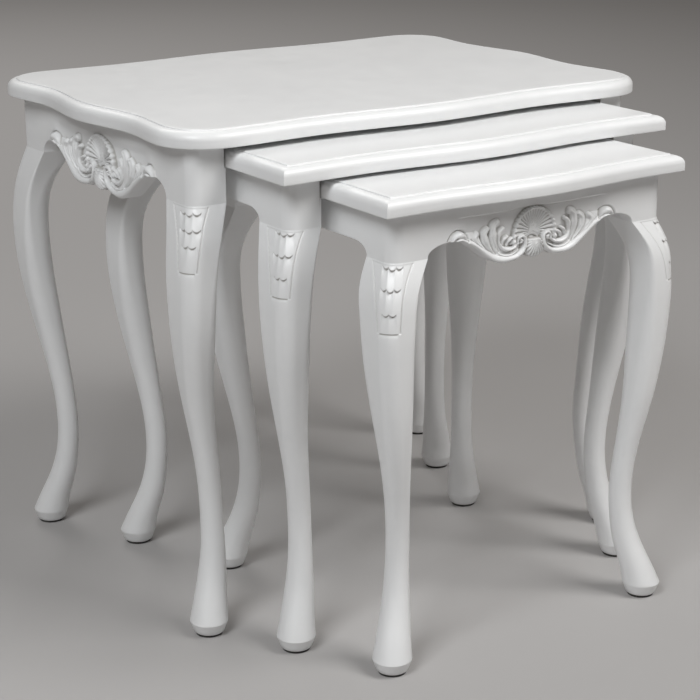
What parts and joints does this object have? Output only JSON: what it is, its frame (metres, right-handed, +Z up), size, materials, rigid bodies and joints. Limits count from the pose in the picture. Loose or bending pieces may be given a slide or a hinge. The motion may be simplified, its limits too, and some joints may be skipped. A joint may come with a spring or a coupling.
{
  "type": "nesting tables",
  "caption": "Nest of occasional tables with serpentine moulded tops, carved aprons and cabriole legs; each smaller table slides out from under the next.",
  "frame": {"origin": "on the floor, midway across the nest and midway between the smallest top's front edge and the largest top's back edge, with the tables pulled out as at rest", "axes": "+Z up; X along the long fronts; the smaller tables pull out towards -Y"},
  "size_m": [0.6174, 0.641, 0.5418],
  "materials": {
    "white_lacquer": "satin off-white lacquer over beech",
    "bare_beech": "bare sawn beech",
    "zinc_steel": "zinc plated",
    "dark_glide": "dark matt"
  },
  "bodies": {
    "large_table": {"large_top": "white_lacquer", "large_front_left_leg": "white_lacquer", "large_front_right_leg": "white_lacquer", "large_back_left_leg": "white_lacquer", "large_back_right_leg": "white_lacquer", "large_left_apron": "white_lacquer", "large_right_apron": "white_lacquer", "large_back_apron": "white_lacquer", "large_left_batten": "bare_beech", "large_right_batten": "bare_beech", "large_apron_dowels": "bare_beech", "large_top_dowels": "bare_beech", "large_top_screws": "zinc_steel", "large_batten_screws": "zinc_steel", "large_foot_glides": "dark_glide"},
    "middle_table": {"middle_top": "white_lacquer", "middle_front_left_leg": "white_lacquer", "middle_front_right_leg": "white_lacquer", "middle_back_left_leg": "white_lacquer", "middle_back_right_leg": "white_lacquer", "middle_left_apron": "white_lacquer", "middle_right_apron": "white_lacquer", "middle_back_apron": "white_lacquer", "middle_left_batten": "bare_beech", "middle_right_batten": "bare_beech", "middle_apron_dowels": "bare_beech", "middle_top_dowels": "bare_beech", "middle_top_screws": "zinc_steel", "middle_batten_screws": "zinc_steel", "middle_foot_glides": "dark_glide"},
    "small_table": {"small_top": "white_lacquer", "small_front_left_leg": "white_lacquer", "small_front_right_leg": "white_lacquer", "small_back_left_leg": "white_lacquer", "small_back_right_leg": "white_lacquer", "small_front_apron": "white_lacquer", "small_left_apron": "white_lacquer", "small_right_apron": "white_lacquer", "small_back_apron": "white_lacquer", "small_left_batten": "bare_beech", "small_right_batten": "bare_beech", "small_apron_dowels": "bare_beech", "small_top_dowels": "bare_beech", "small_top_screws": "zinc_steel", "small_batten_screws": "zinc_steel", "small_foot_glides": "dark_glide"}
  },
  "joints": [
    {"name": "middle_slide", "type": "slide", "parent": "large_table", "child": "middle_table", "axis": [0, -1, 0], "range_m": [-0.079, 0.334]},
    {"name": "small_slide", "type": "slide", "parent": "middle_table", "child": "small_table", "axis": [0, -1, 0], "range_m": [-0.0935, 0.287]}
  ]
}
